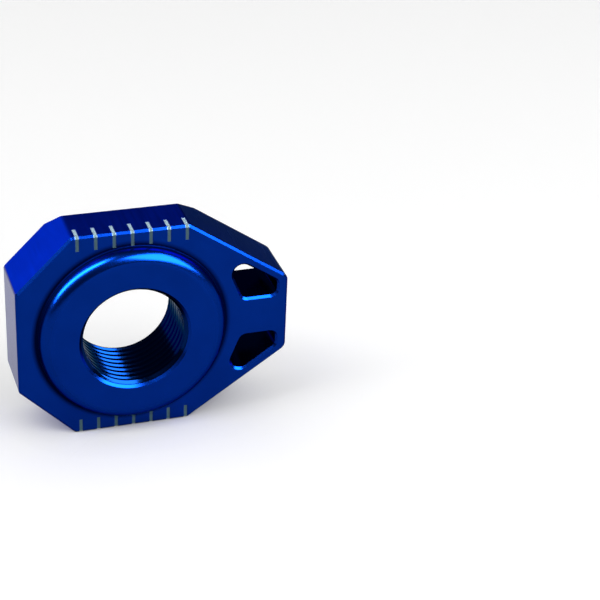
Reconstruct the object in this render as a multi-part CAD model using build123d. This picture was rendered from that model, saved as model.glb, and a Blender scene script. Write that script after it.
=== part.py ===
from build123d import *
from math import atan2, cos, degrees, radians, sin, sqrt
import os

# Axle block of a motorcycle chain adjuster, machined from one piece of aluminium.
# All lengths are in millimetres, all angles in degrees.
# X points to the narrow end, Y from the boss through to the back, Z up.
# The origin lies on the bore's axis, halfway through the plate.

# Plate, seen from the front
plate_height = 41.0
plate_thickness = 12.0
blunt_end_reach = 21.2       # bore axis to the blunt end
narrow_end_reach = 29.7      # bore axis to the narrow end
narrow_end_height = 15.3
corner_cut = 10.3            # 45 degree cuts beside the blunt end
shoulder_reach = 10.7        # bore axis to where the long edges start to taper
corner_radius = 1.0
nose_radius = 1.8            # the two corners of the narrow end
edge_break = 0.4             # small chamfer round the front and back faces
back_bevel = 3.0             # 45 degree bevel along the back of both long edges

# Round boss on the front face
boss_radius = 17.5
boss_height = 2.8
rim_radius = 2.4             # rounding of the boss's outer edge
root_radius = 0.3            # hollow where the boss meets the plate

# Bore for the axle's thread, at the thread's nominal size
bore_radius = 10.0
front_lead_in = 0.45
back_lead_in = 1.0

# The two windows beside the narrow end, mirror images of each other
slope_web = 1.8              # wall left along the tapering edge
end_web = 2.0                # wall left along the narrow end
rib_height = 7.9             # solid left between the two windows
window_offset = 21.0         # bore axis to the window's slanted side
window_lean = 22.0           # lean of that side from the vertical
window_radius = 1.3
window_tip_radius = 1.85     # the acute corner, beside the tapering edge
window_back_break = 1.0      # chamfer round each window on the back face

# Graduation marks: shallow grooves that run over the front corner of both long edges
mark_count = 7
mark_pitch = 3.35
mark_row_offset = 0.2        # middle mark from the bore axis, towards the narrow end
mark_width = 0.75
mark_depth = 0.12
mark_front_length = 2.85     # leg on the front face
mark_side_length = 3.3       # leg on the long edge

# Places worked out from the sizes above
top_z = plate_height / 2
front_y = -plate_thickness / 2
back_y = plate_thickness / 2
boss_y = front_y - boss_height
narrow_end_z = narrow_end_height / 2
front_plane = Plane.XZ.offset(-front_y)


def rounded_polygon(corners, radii):
    """Flat polygon with its own rounding at each corner."""
    shape = make_face(Polyline(*corners, close=True))
    for corner, radius in zip(corners, radii):
        shape = fillet(shape.vertices().sort_by_distance(corner)[0], radius)
    return shape


def plate_outline():
    """Eight-sided outline of the plate in X and Z."""
    upper = [
        (-blunt_end_reach, top_z - corner_cut),
        (corner_cut - blunt_end_reach, top_z),
        (shoulder_reach, top_z),
        (narrow_end_reach, narrow_end_z),
    ]
    upper_radii = [corner_radius, corner_radius, corner_radius, nose_radius]
    lower = [(x, -z) for x, z in reversed(upper)]
    return rounded_polygon(upper + lower, upper_radii + upper_radii[::-1])


def side_profile():
    """The plate's section in Y and Z: a strip with both back corners bevelled."""
    upper = [
        (front_y, top_z),
        (back_y - back_bevel, top_z),
        (back_y, top_z - back_bevel),
    ]
    lower = [(y, -z) for y, z in reversed(upper)]
    return make_face(Polyline(*upper, *lower, close=True))


def meet(first, second):
    """Where two lines cross. A line is its normal's angle and its distance from the bore axis."""
    (a, p), (b, q) = first, second
    a, b = radians(a), radians(b)
    x = (p * sin(b) - q * sin(a)) / sin(b - a)
    z = (q * cos(a) - p * cos(b)) / sin(b - a)
    return x, z


def window():
    """Upper window: four straight sides between the boss, the taper, the narrow end and the rib."""
    slope_angle = degrees(atan2(narrow_end_reach - shoulder_reach, top_z - narrow_end_z))
    edge_distance = shoulder_reach * cos(radians(slope_angle)) + top_z * sin(radians(slope_angle))
    slanted = (window_lean, window_offset)
    slope = (slope_angle, edge_distance - slope_web)
    end = (0, narrow_end_reach - end_web)
    rib = (90, rib_height / 2)
    corners = [meet(slanted, slope), meet(slope, end), meet(end, rib), meet(rib, slanted)]
    return rounded_polygon(corners, [window_tip_radius] + [window_radius] * 3)


def plate():
    """Bevelled plate with both windows through it and every front and back edge broken."""
    body = extrude(front_plane * plate_outline(), -plate_thickness)
    past_both_ends = blunt_end_reach + narrow_end_reach
    body &= extrude(Plane.YZ * side_profile(), past_both_ends, both=True)
    upper_window = extrude(front_plane * window(), -plate_thickness)
    body -= upper_window + mirror(upper_window, Plane.XY)
    faces = body.faces().sort_by(Axis.Y)
    body = chamfer(faces[0].edges() + faces[-1].outer_wire().edges(), edge_break)
    back_face = body.faces().sort_by(Axis.Y)[-1]
    window_edges = [edge for wire in back_face.inner_wires() for edge in wire.edges()]
    return chamfer(window_edges, window_back_break)


def add_boss(body):
    """Round boss with a full rounded rim and a small hollow at its root."""
    body += extrude(front_plane * Circle(boss_radius), boss_height)
    rim = body.edges().sort_by(Axis.Y)[0]
    body = fillet(rim, rim_radius)
    widest_circles = body.edges().filter_by(GeomType.CIRCLE).group_by(SortBy.LENGTH)[-1]
    root = widest_circles.sort_by(Axis.Y)[-1]
    return fillet(root, root_radius)


def bore():
    """What the axle's hole takes away: a straight bore with a lead-in at each end."""
    section = Polyline(
        (0, boss_y),
        (bore_radius + front_lead_in, boss_y),
        (bore_radius, boss_y + front_lead_in),
        (bore_radius, back_y - back_lead_in),
        (bore_radius + back_lead_in, back_y),
        (0, back_y),
        close=True,
    )
    return revolve(make_face(section), Axis.Y)


def mark():
    """One groove of even depth over the chamfered front corner of the upper long edge."""
    clear = mark_width
    bend = edge_break + mark_depth * (sqrt(2) - 1)
    section = Polyline(
        (front_y + mark_side_length, top_z + clear),
        (front_y + mark_side_length, top_z - mark_depth),
        (front_y + bend, top_z - mark_depth),
        (front_y + mark_depth, top_z - bend),
        (front_y + mark_depth, top_z - mark_front_length),
        (front_y - clear, top_z - mark_front_length),
        (front_y - clear, top_z + clear),
        close=True,
    )
    return extrude(Plane.YZ * make_face(section), mark_width / 2, both=True)


def marks():
    """Both rows of graduation marks, on the upper and the lower long edge."""
    first = mark_row_offset - mark_pitch * (mark_count - 1) / 2
    upper = [Pos(first + i * mark_pitch, 0, 0) * mark() for i in range(mark_count)]
    return upper + [mirror(groove, Plane.XY) for groove in upper]


def axle_block():
    block = add_boss(plate()) - bore()
    return block - marks()


os.makedirs("parts", exist_ok=True)
export_step(axle_block(), "parts/axle_block.step")
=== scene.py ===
import math

import bpy
import numpy as np
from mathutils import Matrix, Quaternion, Vector


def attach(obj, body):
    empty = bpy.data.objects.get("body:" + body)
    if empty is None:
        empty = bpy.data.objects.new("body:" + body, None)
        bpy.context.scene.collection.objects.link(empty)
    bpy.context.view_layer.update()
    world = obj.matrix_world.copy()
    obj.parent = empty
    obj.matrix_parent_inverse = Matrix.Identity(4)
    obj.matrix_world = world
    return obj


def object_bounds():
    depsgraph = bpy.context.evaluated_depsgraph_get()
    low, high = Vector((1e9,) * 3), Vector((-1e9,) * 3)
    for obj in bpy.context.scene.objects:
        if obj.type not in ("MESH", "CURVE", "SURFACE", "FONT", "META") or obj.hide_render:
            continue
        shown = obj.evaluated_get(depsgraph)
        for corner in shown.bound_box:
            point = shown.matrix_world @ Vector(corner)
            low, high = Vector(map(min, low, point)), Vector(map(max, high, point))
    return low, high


MM = 0.001

# Graduation marks, as they are cut into the block (mm)
MARK_PITCH = 3.35
MARK_ROW_OFFSET = 0.2
MARK_HALF_WIDTH = 0.375
MARK_SOFT_EDGE = 0.17
MARK_ROW_HALF_LENGTH = 10.9
MARK_FRONT_FROM_Z = 17.65    # inner end of the leg on the front face
MARK_FRONT_TO_Y = -5.5       # the leg on the front face and the corner lie in front of this
MARK_BEND_FROM_Z = 20.05     # where the front face turns into the corner's chamfer
MARK_SIDE_FROM_Z = 20.0
MARK_SIDE_TO_Y = -2.7        # back end of the leg on the long edge

# Axle thread in the bore (mm)
THREAD_PITCH = 1.5
FLANK_ANGLE = math.radians(30)
ROOT_RADIUS = 9.985
CREST_RADIUS = 9.5
ROOT_FLAT = 0.19
SHELL_RADIUS = 10.04         # outside of the thread's shell, inside the block's metal
BOSS_FACE_Y = -8.8
BACK_FACE_Y = 6.0
FRONT_MOUTH_RADIUS = 10.45
BACK_MOUTH_RADIUS = 11.0
BORE_WALL_RADIUS = 10.0
MOUTH_LAND = 0.2             # plain ring between the block's lead-in and the thread's own

# The thread's mesh
MOUTH_ROWS = 25
THREAD_SEGMENTS = 180
THREAD_ROW_STEP = 0.08       # mm, at most, between rows along the helix
CLOSEST_ROWS = 0.002         # mm; a row that comes nearer to a mouth than this joins it
SHARP_ANGLE = math.radians(20)

# Plate, from the bore's axis (mm)
BOSS_CLEAR_RADIUS = 18.0     # the boss and its root lie inside this
ROOT_CORNER_RADIUS = 17.6    # the inner corner where the boss meets the plate
ROOT_CORNER_Y = -6.1
ROOT_CORNER_SIZE = 0.3
ROOT_PAINTED_SHADE_REACH = 1.2       # how far its painted shade fades out over the plate
ROOT_PAINTED_SHADE_RISE = 0.8        # and up the boss
TAPER_FROM = (10.7, 20.5)    # X and Z where a long edge starts to taper
TAPER_TO = (29.7, 7.65)
OUTER_WALL = 1.0             # what lies deeper than this behind the taper or the end is a window's wall

# Which way a surface faces: parts of its unit normal in the part's own frame
WALL_FACING_Y = 0.5          # less than this either way on the walls round the outline and the windows
FACE_FACING_Y = 0.97         # more than this either way on the front and back faces
BLUNT_END_FACING_X = -0.85   # less than this on the blunt end
TAPER_FACING_X = 0.3         # more than this on the tapers and the narrow end
CUT_NORMAL_X = -0.707        # on the cuts beside the blunt end
TAPER_NORMAL_X = 0.56        # on the tapers

# Blue anodising: colour of the dye where it is thinnest and deepest, and roughness
BLOCK_DYE = (0.0005, 0.0145, 0.145), (0.0006, 0.0170, 0.168)
# The thread's dye is darker than the block's: painted shade inside the bore.
THREAD_DYE_WITH_PAINTED_SHADE = (0.0005, 0.0080, 0.050), (0.0006, 0.0095, 0.060)
EDGE_TINT = (0.35, 0.42, 0.45)            # of what the metal mirrors at a grazing angle
BLOCK_ROUGHNESS = 0.22
THREAD_ROUGHNESS = 0.14
GRAIN_SPREAD = 0.02
FACE_EXTRA_ROUGHNESS = 0.08               # on the front and back faces
CLOUDS_PER_MM = 0.12
GRAINS_PER_MM = 7.0
GRAIN_DEPTH = 0.003                       # mm
BUMP_STRENGTH = 0.1
NOISE_ROUGHNESS = 0.55
NOISE_LOW, NOISE_HIGH = 0.3, 0.7          # most of a noise's values lie between these

# The outline's flats, milled with the side of a cutter
OUTLINE_SHADE = (0.5, 0.65, 1.45)
CUT_ROUGHNESS = 0.55
TAPER_ROUGHNESS = 0.25
BLUNT_END_ROUGHNESS = 0.22
BLUNT_END_TINT = (0.8, 0.8, 0.8)
TAPER_TINT_SHADE = (0.62, 0.72, 0.55)
STREAKS_PER_MM = 3.0
STREAKS_ALONG_PER_MM = 0.1                # along their own length, from front to back
STREAK_SPREAD = 0.03
STREAK_RELIEF = 2                         # depth of the streaks, in grains

# The windows' walls, the boss's root and the marks, with painted shade on the windows' walls, in the root's
# corner and on the marks from the corner forwards
WINDOW_PAINTED_SHADE = (0.6, 0.6, 0.35)
ROOT_PAINTED_SHADE = (0.05, 0.07, 0.10)
ROOT_ROUGHNESS = 0.5
MARK_COLOURS = (0.34, 0.50, 0.54), (0.42, 0.58, 0.62)
MARK_BEND_PAINTED_SHADE = (0.60, 0.68, 0.68)      # painted shade, from the corner forwards
MARK_FRONT_PAINTED_SHADE = (0.20, 0.29, 0.32)     # more painted shade, on the front face
MARK_PATCHES_PER_MM = 3.0
MARK_ROUGHNESS = 0.8

# Floor and light (metres and radiance)
FLOOR_REACH = 20.0           # from the block to the floor's edges
PAPER_COLOUR = (0.55, 0.55, 0.55)
NEAR_GLOW = 0.60             # what the camera and polished metal see on top of the lit paper
FAR_GLOW = 1.0               # past the lamps' reach the glow alone keeps the floor white
LAMPS_REACH_FROM = 0.5       # distance from the block where the lamps' light starts to fail
LAMPS_REACH_TO = 1.5
CONTACT_REACH = 0.03
LAMP_DISTANCE = 0.6
SHEEN_SETBACK = 0.01
WORLD_RADIANCE = 0.12

# Camera, fitted to the photograph (millimetres for the lens, then metres and degrees)
SENSOR_WIDTH = 36
FOCAL_LENGTH = 109.17
CAMERA_CLIP_START = 0.01
CAMERA_PLACE = (-0.06647, -0.28669, 0.16912)
CAMERA_TURN = (60.678, -2.311, -18.072)


class Shader:
    """A new material and its nodes. A node's input is a number, a colour or another node's output."""

    def __init__(self, name):
        self.material = bpy.data.materials.new(name)
        self.material.use_nodes = True
        self.tree = self.material.node_tree
        self.tree.nodes.clear()

    def node(self, kind, **settings):
        node = self.tree.nodes.new("ShaderNode" + kind)
        for name, value in settings.items():
            setattr(node, name, value)
        return node

    def feed(self, socket, value):
        if isinstance(value, bpy.types.NodeSocket):
            self.tree.links.new(value, socket)
        elif socket.type == "RGBA":
            socket.default_value = (*value, 1)
        else:
            socket.default_value = value

    def fill(self, node, values):
        """Feeds a node's inputs by name."""
        for name, value in values.items():
            self.feed(node.inputs[name], value)

    def math(self, operation, *values):
        node = self.node("Math", operation=operation)
        for socket, value in zip(node.inputs, values):
            self.feed(socket, value)
        return node.outputs[0]

    def product(self, value, *factors):
        for factor in factors:
            value = self.math("MULTIPLY", value, factor)
        return value

    def absolute(self, value):
        return self.math("ABSOLUTE", value)

    def below(self, value, limit):
        """1 where the value is under the limit, and 0 elsewhere."""
        return self.math("LESS_THAN", value, limit)

    def above(self, value, limit):
        """1 where the value is over the limit, and 0 elsewhere."""
        return self.math("GREATER_THAN", value, limit)

    def remap(self, value, low, high, to_low, to_high):
        node = self.node("MapRange")
        ends = {"From Min": low, "From Max": high, "To Min": to_low, "To Max": to_high}
        self.fill(node, {"Value": value} | ends)
        return node.outputs["Result"]

    def noise(self, vector, scale, detail=3.0):
        node = self.node("TexNoise")
        self.fill(node, {"Vector": vector, "Scale": scale, "Detail": detail, "Roughness": NOISE_ROUGHNESS})
        return node.outputs["Fac"]

    def spread(self, noise, low, high):
        """A noise, stretched from low to high."""
        return self.remap(noise, NOISE_LOW, NOISE_HIGH, low, high)

    def scaled(self, vector, factors):
        node = self.node("VectorMath", operation="MULTIPLY")
        self.feed(node.inputs[0], vector)
        self.feed(node.inputs[1], factors)
        return node.outputs[0]

    def split(self, vector):
        node = self.node("SeparateXYZ")
        self.feed(node.inputs[0], vector)
        return node.outputs

    def mix(self, mask, first, other, **settings):
        """The first where the mask is 0, and the other where it is 1."""
        node = self.node("Mix", **settings)
        self.fill(node, {"Factor": mask, "A": first, "B": other})
        return node.outputs["Result"]

    def number(self, mask, first, other):
        return self.mix(mask, first, other, data_type="FLOAT")

    def colour(self, mask, first, other):
        return self.mix(mask, first, other, data_type="RGBA")

    def shaded(self, mask, colour, shade):
        """The colour, multiplied by the shade where the mask is 1."""
        return self.mix(mask, colour, shade, data_type="RGBA", blend_type="MULTIPLY")

    def show(self, surface):
        output = self.node("OutputMaterial")
        self.feed(output.inputs["Surface"], surface)
        return self.material


class Anodising(Shader):
    """Satin blue anodised aluminium with a fine blasted grain and a slightly uneven dye."""

    def __init__(self, name, roughness, thinnest, deepest):
        super().__init__(name)
        # The surface point in millimetres and the unit normal, both in the part's own frame
        coordinates = self.node("TexCoord")
        self.place = self.scaled(coordinates.outputs["Object"], (1 / MM, 1 / MM, 1 / MM))
        self.x, self.y, self.z = self.split(self.place)
        self.normal_x, self.normal_y, _ = self.split(coordinates.outputs["Normal"])
        self.grain = self.noise(self.place, GRAINS_PER_MM, detail=2.0)
        cloud = self.spread(self.noise(self.place, CLOUDS_PER_MM), 0, 1)
        self.dye = self.colour(cloud, thinnest, deepest)
        self.roughness = self.spread(self.grain, roughness - GRAIN_SPREAD, roughness + GRAIN_SPREAD)
        self.edge_tint = EDGE_TINT
        self.metallic = 1.0
        self.relief = self.grain

    def bore_distance(self):
        """Distance from the bore's axis, in mm."""
        squares = self.math("ADD", self.product(self.x, self.x), self.product(self.z, self.z))
        return self.math("SQRT", squares)

    def wall_masks(self):
        """Two masks for walls that run from front to back: round the plate's outline, and in the windows."""
        wall = self.below(self.absolute(self.normal_y), WALL_FACING_Y)
        run_x, run_z = TAPER_TO[0] - TAPER_FROM[0], TAPER_TO[1] - TAPER_FROM[1]
        run = math.hypot(run_x, run_z)
        taper_distance = (TAPER_FROM[1] * run_x - TAPER_FROM[0] * run_z) / run
        towards_taper = self.math(
            "ADD",
            self.product(self.x, -run_z / run),
            self.product(self.absolute(self.z), run_x / run),
        )
        in_window = self.product(
            self.below(towards_taper, taper_distance - OUTER_WALL),
            self.above(self.x, BOSS_CLEAR_RADIUS),
            self.below(self.x, TAPER_TO[0] - OUTER_WALL),
        )
        outside_boss = self.above(self.bore_distance(), BOSS_CLEAR_RADIUS)
        outline = self.product(wall, outside_boss, self.math("SUBTRACT", 1, in_window))
        return outline, self.product(wall, in_window)

    def root_painted_shade_mask(self):
        """Mask for the painted shade: 1 in the inner corner where the boss meets the plate, fading out round
        it.
        """
        across = self.absolute(self.math("SUBTRACT", self.bore_distance(), ROOT_CORNER_RADIUS))
        along = self.absolute(self.math("SUBTRACT", self.y, ROOT_CORNER_Y))
        return self.product(
            self.remap(across, ROOT_CORNER_SIZE, ROOT_PAINTED_SHADE_REACH, 1, 0),
            self.remap(along, ROOT_CORNER_SIZE, ROOT_PAINTED_SHADE_RISE, 1, 0),
        )

    def marks_mask(self):
        """1 on the engraved marks and 0 elsewhere."""
        along = self.math("SUBTRACT", self.x, MARK_ROW_OFFSET)
        in_row = self.below(self.absolute(along), MARK_ROW_HALF_LENGTH)
        from_mark = self.absolute(self.math("WRAP", along, MARK_PITCH / 2, -MARK_PITCH / 2))
        on_mark = self.remap(from_mark, MARK_HALF_WIDTH - MARK_SOFT_EDGE, MARK_HALF_WIDTH, 1, 0)
        height = self.absolute(self.z)
        front_leg = self.product(self.above(height, MARK_FRONT_FROM_Z), self.below(self.y, MARK_FRONT_TO_Y))
        side_leg = self.product(self.above(height, MARK_SIDE_FROM_Z), self.below(self.y, MARK_SIDE_TO_Y))
        return self.product(in_row, on_mark, self.math("MAXIMUM", front_leg, side_leg))

    def dull_faces(self):
        """The front and back faces are a little duller than the rest."""
        faces = self.above(self.absolute(self.normal_y), FACE_FACING_Y)
        duller = self.math("ADD", self.roughness, FACE_EXTRA_ROUGHNESS)
        self.roughness = self.number(faces, self.roughness, duller)

    def mill_outline(self, outline):
        """The flats round the plate have a finish of their own, with fine lines across the plate's edge."""
        streak_density = (STREAKS_PER_MM, STREAKS_ALONG_PER_MM, STREAKS_PER_MM)
        streaks = self.noise(self.scaled(self.place, streak_density), 1.0)
        milled = self.remap(self.normal_x, CUT_NORMAL_X, TAPER_NORMAL_X, CUT_ROUGHNESS, TAPER_ROUGHNESS)
        milled = self.math("ADD", milled, self.spread(streaks, -STREAK_SPREAD, STREAK_SPREAD))
        on_blunt_end = self.below(self.normal_x, BLUNT_END_FACING_X)
        milled = self.number(on_blunt_end, milled, BLUNT_END_ROUGHNESS)
        self.roughness = self.number(outline, self.roughness, milled)
        self.dye = self.shaded(outline, self.dye, OUTLINE_SHADE)
        on_taper = self.above(self.normal_x, TAPER_FACING_X)
        tint = self.colour(self.product(outline, on_blunt_end), self.edge_tint, BLUNT_END_TINT)
        self.edge_tint = self.shaded(self.product(outline, on_taper), tint, TAPER_TINT_SHADE)
        self.relief = self.math("ADD", self.grain, self.product(streaks, outline, STREAK_RELIEF))

    def paint_window_shade(self, windows):
        # Painted shade: the dye on the windows' inner walls is darkened.
        self.dye = self.shaded(windows, self.dye, WINDOW_PAINTED_SHADE)

    def paint_root_shade(self):
        # Painted shade: the dye is darkened in the corner round the boss's root and a little way out over
        # the plate and up the boss.
        corner = self.root_painted_shade_mask()
        self.dye = self.shaded(corner, self.dye, ROOT_PAINTED_SHADE)
        self.roughness = self.number(corner, self.roughness, ROOT_ROUGHNESS)

    def bare_marks(self):
        """The marks are cut through the anodising, pale on the long edges, with painted shade from the
        corner forwards and darker painted shade on the front.
        """
        marks = self.marks_mask()
        patches = self.spread(self.noise(self.place, MARK_PATCHES_PER_MM), 0, 1)
        bare_with_painted_shade = self.colour(patches, *MARK_COLOURS)
        bare_with_painted_shade = self.shaded(self.below(self.y, MARK_FRONT_TO_Y), bare_with_painted_shade, MARK_BEND_PAINTED_SHADE)
        bare_with_painted_shade = self.shaded(self.below(self.absolute(self.z), MARK_BEND_FROM_Z), bare_with_painted_shade, MARK_FRONT_PAINTED_SHADE)
        self.dye = self.colour(marks, self.dye, bare_with_painted_shade)
        self.roughness = self.number(marks, self.roughness, MARK_ROUGHNESS)
        self.metallic = self.math("SUBTRACT", 1, marks)

    def finish(self):
        bump = self.node("Bump")
        self.fill(bump, {"Strength": BUMP_STRENGTH, "Distance": GRAIN_DEPTH * MM, "Height": self.relief})
        metal = self.node("BsdfPrincipled")
        self.fill(metal, {
            "Base Color": self.dye,
            "Metallic": self.metallic,
            "Roughness": self.roughness,
            "Specular Tint": self.edge_tint,
            "Normal": bump.outputs["Normal"],
        })
        return self.show(metal.outputs[0])


def block_finish():
    coat = Anodising("anodised_block", BLOCK_ROUGHNESS, *BLOCK_DYE)
    outline, windows = coat.wall_masks()
    coat.dull_faces()
    coat.mill_outline(outline)
    coat.paint_window_shade(windows)
    coat.paint_root_shade()
    coat.bare_marks()
    return coat.finish()


def thread_finish_with_painted_shade():
    # Its darker dye is painted shade inside the bore.
    return Anodising("anodised_thread_with_painted_shade", THREAD_ROUGHNESS, *THREAD_DYE_WITH_PAINTED_SHADE).finish()


class Thread:
    """The axle's thread as one closed ring. A right-hand helix: the angle runs from +Z to +X as y grows."""

    flank = (ROOT_RADIUS - CREST_RADIUS) * math.tan(FLANK_ANGLE)
    crest_half = (THREAD_PITCH - ROOT_FLAT) / 2 - flank
    front_end = BOSS_FACE_Y + FRONT_MOUTH_RADIUS - BORE_WALL_RADIUS
    back_end = BACK_FACE_Y - BACK_MOUTH_RADIUS + BORE_WALL_RADIUS
    helix_from = front_end + MOUTH_LAND + ROOT_RADIUS - CREST_RADIUS
    helix_to = back_end - (BORE_WALL_RADIUS - CREST_RADIUS)

    def __init__(self):
        self.points = []
        self.faces = []

    def radius(self, column, y):
        """Distance of the surface from the bore's axis, with both ends countersunk."""
        turn = y / THREAD_PITCH - column / THREAD_SEGMENTS
        from_crest = abs(turn - math.floor(turn) - 0.5) * THREAD_PITCH
        depth = (from_crest - self.crest_half) / math.tan(FLANK_ANGLE)
        profile = min(max(CREST_RADIUS + depth, CREST_RADIUS), ROOT_RADIUS)
        front_cone = min(ROOT_RADIUS, ROOT_RADIUS - (y - self.front_end - MOUTH_LAND))
        back_cone = BORE_WALL_RADIUS - (self.back_end - y)
        return max(profile, front_cone, back_cone)

    def point(self, column, y, radius):
        angle = 2 * math.pi * column / THREAD_SEGMENTS
        self.points.append((radius * math.sin(angle) * MM, y * MM, radius * math.cos(angle) * MM))
        return len(self.points) - 1

    def ring(self, y, radius=None):
        columns = range(THREAD_SEGMENTS)
        return [self.point(column, y, radius or self.radius(column, y)) for column in columns]

    def join(self, rings):
        for lower, upper in zip(rings, rings[1:]):
            for i in range(THREAD_SEGMENTS):
                self.faces.append((lower[i], lower[i - 1], upper[i - 1], upper[i]))

    def row_turns(self):
        """Fractions of a turn at which rows follow the helix, with one along every corner of the profile."""
        corners = [0, ROOT_FLAT / 2, ROOT_FLAT / 2 + self.flank]
        corners += [THREAD_PITCH - corner for corner in reversed(corners)]
        rows = []
        for start, end in zip(corners, corners[1:]):
            steps = math.ceil((end - start) / THREAD_ROW_STEP)
            rows += [(start + (end - start) * i / steps) / THREAD_PITCH for i in range(steps)]
        return rows

    def helix(self, lower, upper):
        """Fills the space between two rings with rows that run along the thread's edges."""
        turns = self.row_turns()
        per_turn = len(turns)
        made = {}

        def corner(row, column):
            if column == THREAD_SEGMENTS:
                row, column = row + per_turn, 0
            y = (row // per_turn + turns[row % per_turn] + column / THREAD_SEGMENTS) * THREAD_PITCH
            if y < self.helix_from + CLOSEST_ROWS:
                return lower[column]
            if y > self.helix_to - CLOSEST_ROWS:
                return upper[column]
            if (row, column) not in made:
                made[row, column] = self.point(column, y, self.radius(column, y))
            return made[row, column]

        # A row climbs one turn on its way round, so the first ones start more than a turn before the helix.
        first_row = (math.floor(self.helix_from / THREAD_PITCH) - 2) * per_turn
        last_row = (math.ceil(self.helix_to / THREAD_PITCH) + 1) * per_turn
        for row in range(first_row, last_row):
            for column in range(THREAD_SEGMENTS):
                near = [corner(row, column + 1), corner(row, column)]
                far = [corner(row + 1, column), corner(row + 1, column + 1)]
                face = list(dict.fromkeys(near + far))
                if len(face) > 2:
                    self.faces.append(face)

    def build(self):
        front = [self.ring(y) for y in np.linspace(self.front_end, self.helix_from, MOUTH_ROWS)]
        back = [self.ring(y) for y in np.linspace(self.helix_to, self.back_end, MOUTH_ROWS)]
        shell = [self.ring(self.back_end, SHELL_RADIUS), self.ring(self.front_end, SHELL_RADIUS)]
        self.join(front)
        self.helix(front[-1], back[0])
        self.join(back + shell + front[:1])
        mesh = bpy.data.meshes.new("axle_thread")
        mesh.from_pydata(self.points, [], self.faces)
        mesh.polygons.foreach_set("use_smooth", [True] * len(self.faces))
        mesh.set_sharp_from_angle(angle=SHARP_ANGLE)
        piece = bpy.data.objects.new("axle_thread", mesh)
        bpy.context.scene.collection.objects.link(piece)
        return piece


def floor_finish():
    """Matt pale paper. What the camera and mirroring surfaces see of it glows up to white."""
    shader = Shader("floor_paper")
    paper = shader.node("BsdfPrincipled")
    shader.fill(paper, {"Base Color": PAPER_COLOUR, "Roughness": 1.0, "Specular IOR Level": 0.0})
    rays = shader.node("LightPath").outputs
    seen = shader.math("MAXIMUM", rays["Is Camera Ray"], rays["Is Glossy Ray"])
    seen = shader.math("MAXIMUM", seen, rays["Is Transmission Ray"])
    distance = shader.node("VectorMath", operation="LENGTH")
    shader.feed(distance.inputs[0], shader.node("TexCoord").outputs["Object"])
    from_block = distance.outputs["Value"]
    glow = shader.remap(from_block, LAMPS_REACH_FROM, LAMPS_REACH_TO, NEAR_GLOW, FAR_GLOW)
    # Painted contact shade: the glow is dimmed by ambient occlusion near the block.
    contact_shade = shader.node("AmbientOcclusion")
    shader.feed(contact_shade.inputs["Distance"], CONTACT_REACH)
    emission = shader.node("Emission")
    shader.feed(emission.inputs["Strength"], shader.product(glow, contact_shade.outputs["AO"], seen))
    both = shader.node("AddShader")
    shader.feed(both.inputs[0], paper.outputs[0])
    shader.feed(both.inputs[1], emission.outputs[0])
    return shader.show(both.outputs[0])


def make_floor(height):
    """Plain pale floor that the block stands on."""
    signs = ((-1, -1), (1, -1), (1, 1), (-1, 1))
    corners = [(FLOOR_REACH * x, FLOOR_REACH * y, height) for x, y in signs]
    mesh = bpy.data.meshes.new("floor")
    mesh.from_pydata(corners, [], [(0, 1, 2, 3)])
    mesh.materials.append(floor_finish())
    floor = bpy.data.objects.new("floor", mesh)
    bpy.context.scene.collection.objects.link(floor)


def direction(azimuth, elevation):
    """Unit vector from the block: azimuth 0 is towards -Y and 90 towards +X, in degrees."""
    a, e = math.radians(azimuth), math.radians(elevation)
    return Vector((math.sin(a) * math.cos(e), -math.cos(a) * math.cos(e), math.sin(e)))


def area_lamp(name, place, roll, width, height, radiance):
    """Rectangular lamp that faces the block."""
    lamp = bpy.data.lights.new(name, "AREA")
    lamp.shape = "RECTANGLE"
    lamp.size = width
    lamp.size_y = height
    lamp.energy = radiance * math.pi * width * height
    holder = bpy.data.objects.new(name, lamp)
    holder.location = place
    holder.rotation_mode = "QUATERNION"
    rolled = Quaternion((0, 0, 1), math.radians(roll))
    holder.rotation_quaternion = (-place).to_track_quat("-Z", "Y") @ rolled
    bpy.context.scene.collection.objects.link(holder)
    return holder


def softbox(name, azimuth, elevation, roll, width, height, radiance, sheen):
    """A soft studio lamp, and just behind it a second one that shows in polished surfaces only."""
    towards = direction(azimuth, elevation)
    area_lamp(name, towards * LAMP_DISTANCE, roll, width, height, radiance)
    behind = towards * (LAMP_DISTANCE + SHEEN_SETBACK)
    mirrored = area_lamp(name + "_sheen", behind, roll, width, height, sheen)
    mirrored.visible_diffuse = False


def make_world():
    world = bpy.data.worlds.new("studio")
    world.use_nodes = True
    background = world.node_tree.nodes["Background"]
    background.inputs["Color"].default_value = (1, 1, 1, 1)
    background.inputs["Strength"].default_value = WORLD_RADIANCE
    bpy.context.scene.world = world


def make_camera():
    data = bpy.data.cameras.new("camera")
    data.sensor_width = SENSOR_WIDTH
    data.lens = FOCAL_LENGTH
    data.clip_start = CAMERA_CLIP_START
    data.clip_end = 2 * FLOOR_REACH
    camera = bpy.data.objects.new("camera", data)
    camera.location = CAMERA_PLACE
    camera.rotation_euler = [math.radians(angle) for angle in CAMERA_TURN]
    bpy.context.scene.collection.objects.link(camera)
    bpy.context.scene.camera = camera


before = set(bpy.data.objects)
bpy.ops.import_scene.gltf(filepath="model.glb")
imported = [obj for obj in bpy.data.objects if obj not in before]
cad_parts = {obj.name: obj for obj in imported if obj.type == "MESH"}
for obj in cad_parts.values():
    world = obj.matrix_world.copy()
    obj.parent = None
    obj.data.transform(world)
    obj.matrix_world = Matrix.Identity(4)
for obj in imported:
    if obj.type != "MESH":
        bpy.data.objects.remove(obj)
cad_low, cad_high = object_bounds()

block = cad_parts["axle_block"]
block.data.materials.clear()
block.data.materials.append(block_finish())

thread = Thread().build()
thread.data.materials.append(thread_finish_with_painted_shade())
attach(thread, "root")

make_floor(cad_low.z)
make_world()
softbox("softbox_right", 44, 38, roll=0, width=0.58, height=0.46, radiance=3.1, sheen=31.0)
softbox("softbox_left", -77, 45, roll=-31, width=0.20, height=0.69, radiance=5.0, sheen=55.0)
make_camera()
bpy.context.scene.view_settings.view_transform = "Standard"
